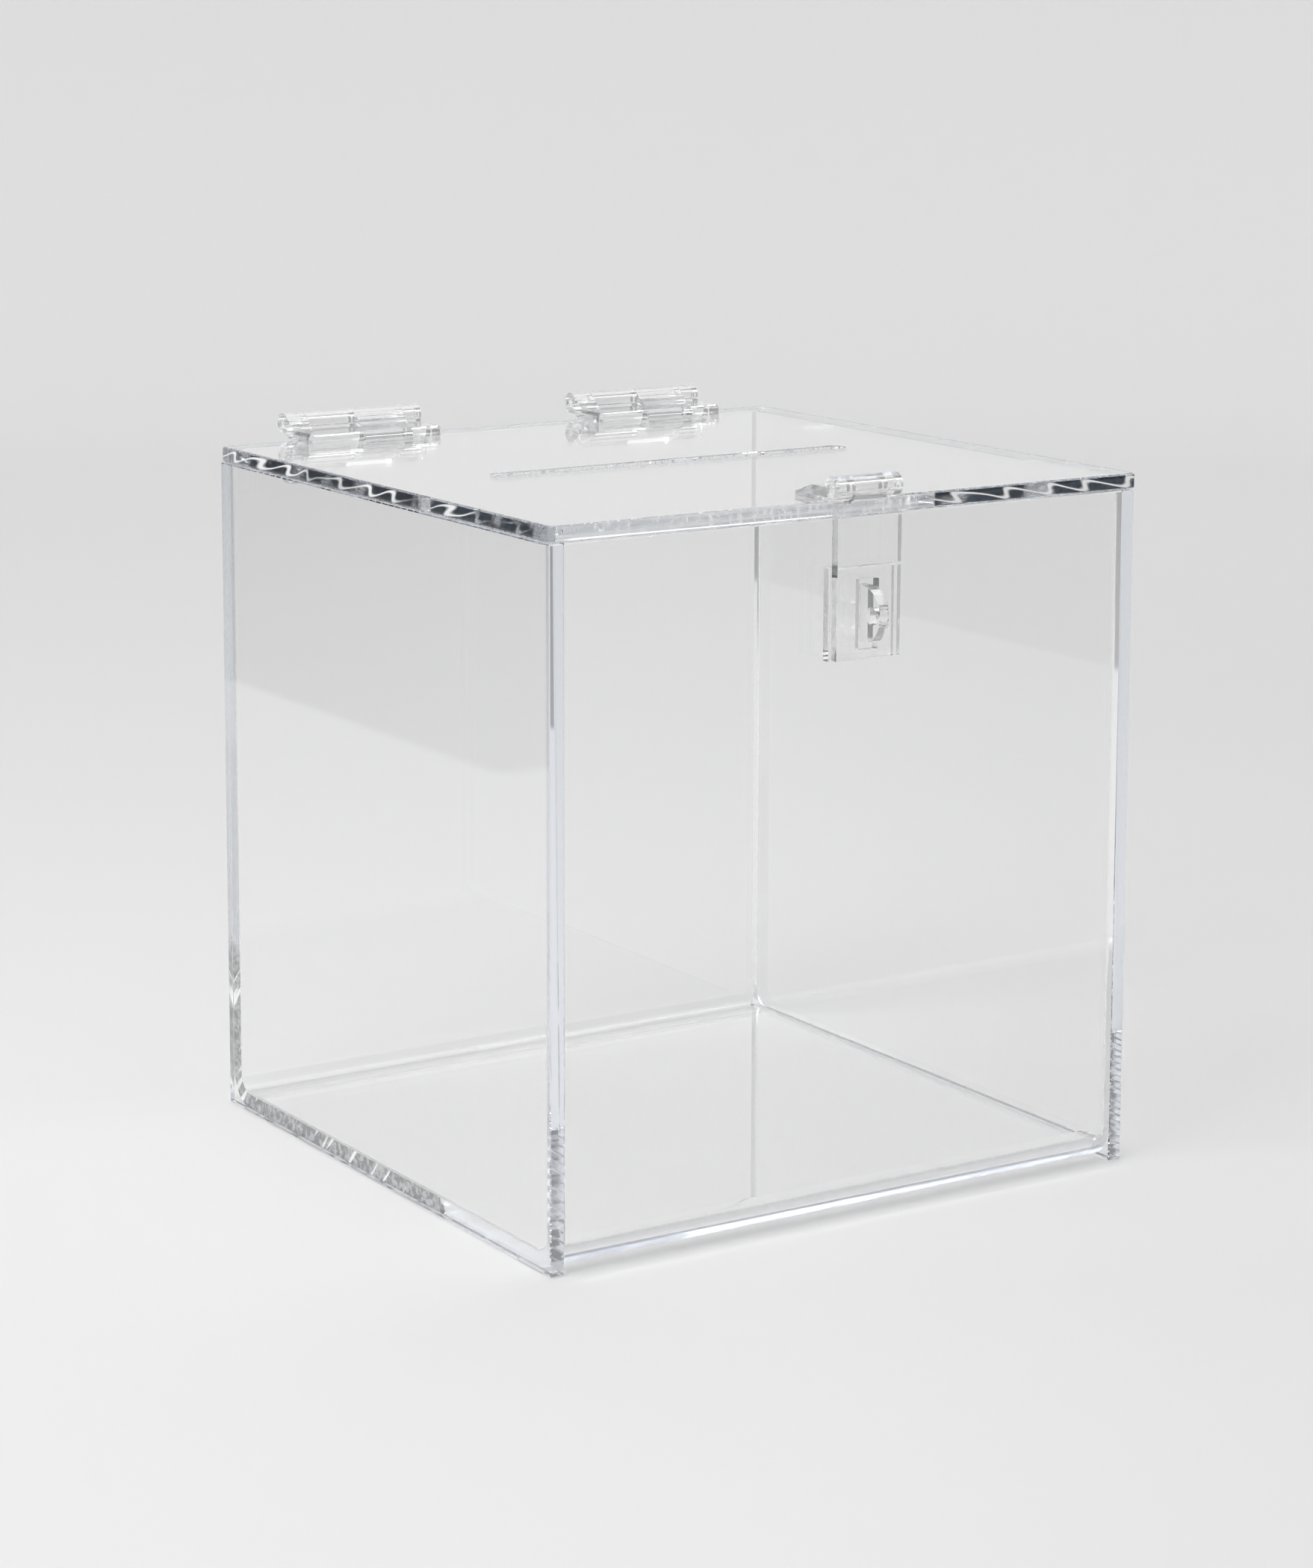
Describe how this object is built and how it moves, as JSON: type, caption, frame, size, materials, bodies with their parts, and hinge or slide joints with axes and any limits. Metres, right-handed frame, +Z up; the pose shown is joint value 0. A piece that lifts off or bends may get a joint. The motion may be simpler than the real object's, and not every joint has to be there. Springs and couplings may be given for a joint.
{
  "type": "donation box",
  "caption": "Clear acrylic donation box with a slotted lid on moulded back hinges and a hinged hasp strap that drops over a padlock staple on the front.",
  "frame": {"origin": "centre of the walls' footprint, on the surface the box stands on", "axes": "+Z up, -Y out of the front wall that carries the hasp, +X to the right seen from the front"},
  "size_m": [0.255, 0.2763, 0.2748],
  "materials": {
    "sheet_acrylic": "clear cast sheet, polished faces, satin sawn edges",
    "moulded_acrylic": "clear moulded, glossy",
    "pin_acrylic": "clear rod, glossy"
  },
  "bodies": {
    "box": {"bent_shell": "sheet_acrylic", "left_wall": "sheet_acrylic", "right_wall": "sheet_acrylic", "left_hinge_wall_leaf": "moulded_acrylic", "right_hinge_wall_leaf": "moulded_acrylic", "hasp_staple": "moulded_acrylic"},
    "lid": {"lid_panel": "sheet_acrylic", "left_hinge_lid_leaf": "moulded_acrylic", "right_hinge_lid_leaf": "moulded_acrylic", "left_hinge_pin": "pin_acrylic", "right_hinge_pin": "pin_acrylic", "hasp_lid_leaf": "moulded_acrylic", "hasp_pin": "pin_acrylic"},
    "strap": {"hasp_strap": "moulded_acrylic"}
  },
  "joints": [
    {"name": "lid_hinge", "type": "hinge", "parent": "box", "child": "lid", "pos_m": [0, 0.1302, 0.2706], "axis": [-1, 0, 0], "range_deg": [0, 250]},
    {"name": "strap_hinge", "type": "hinge", "parent": "lid", "child": "strap", "pos_m": [0, -0.129, 0.2694], "axis": [-1, 0, 0], "range_deg": [0, 220]}
  ]
}
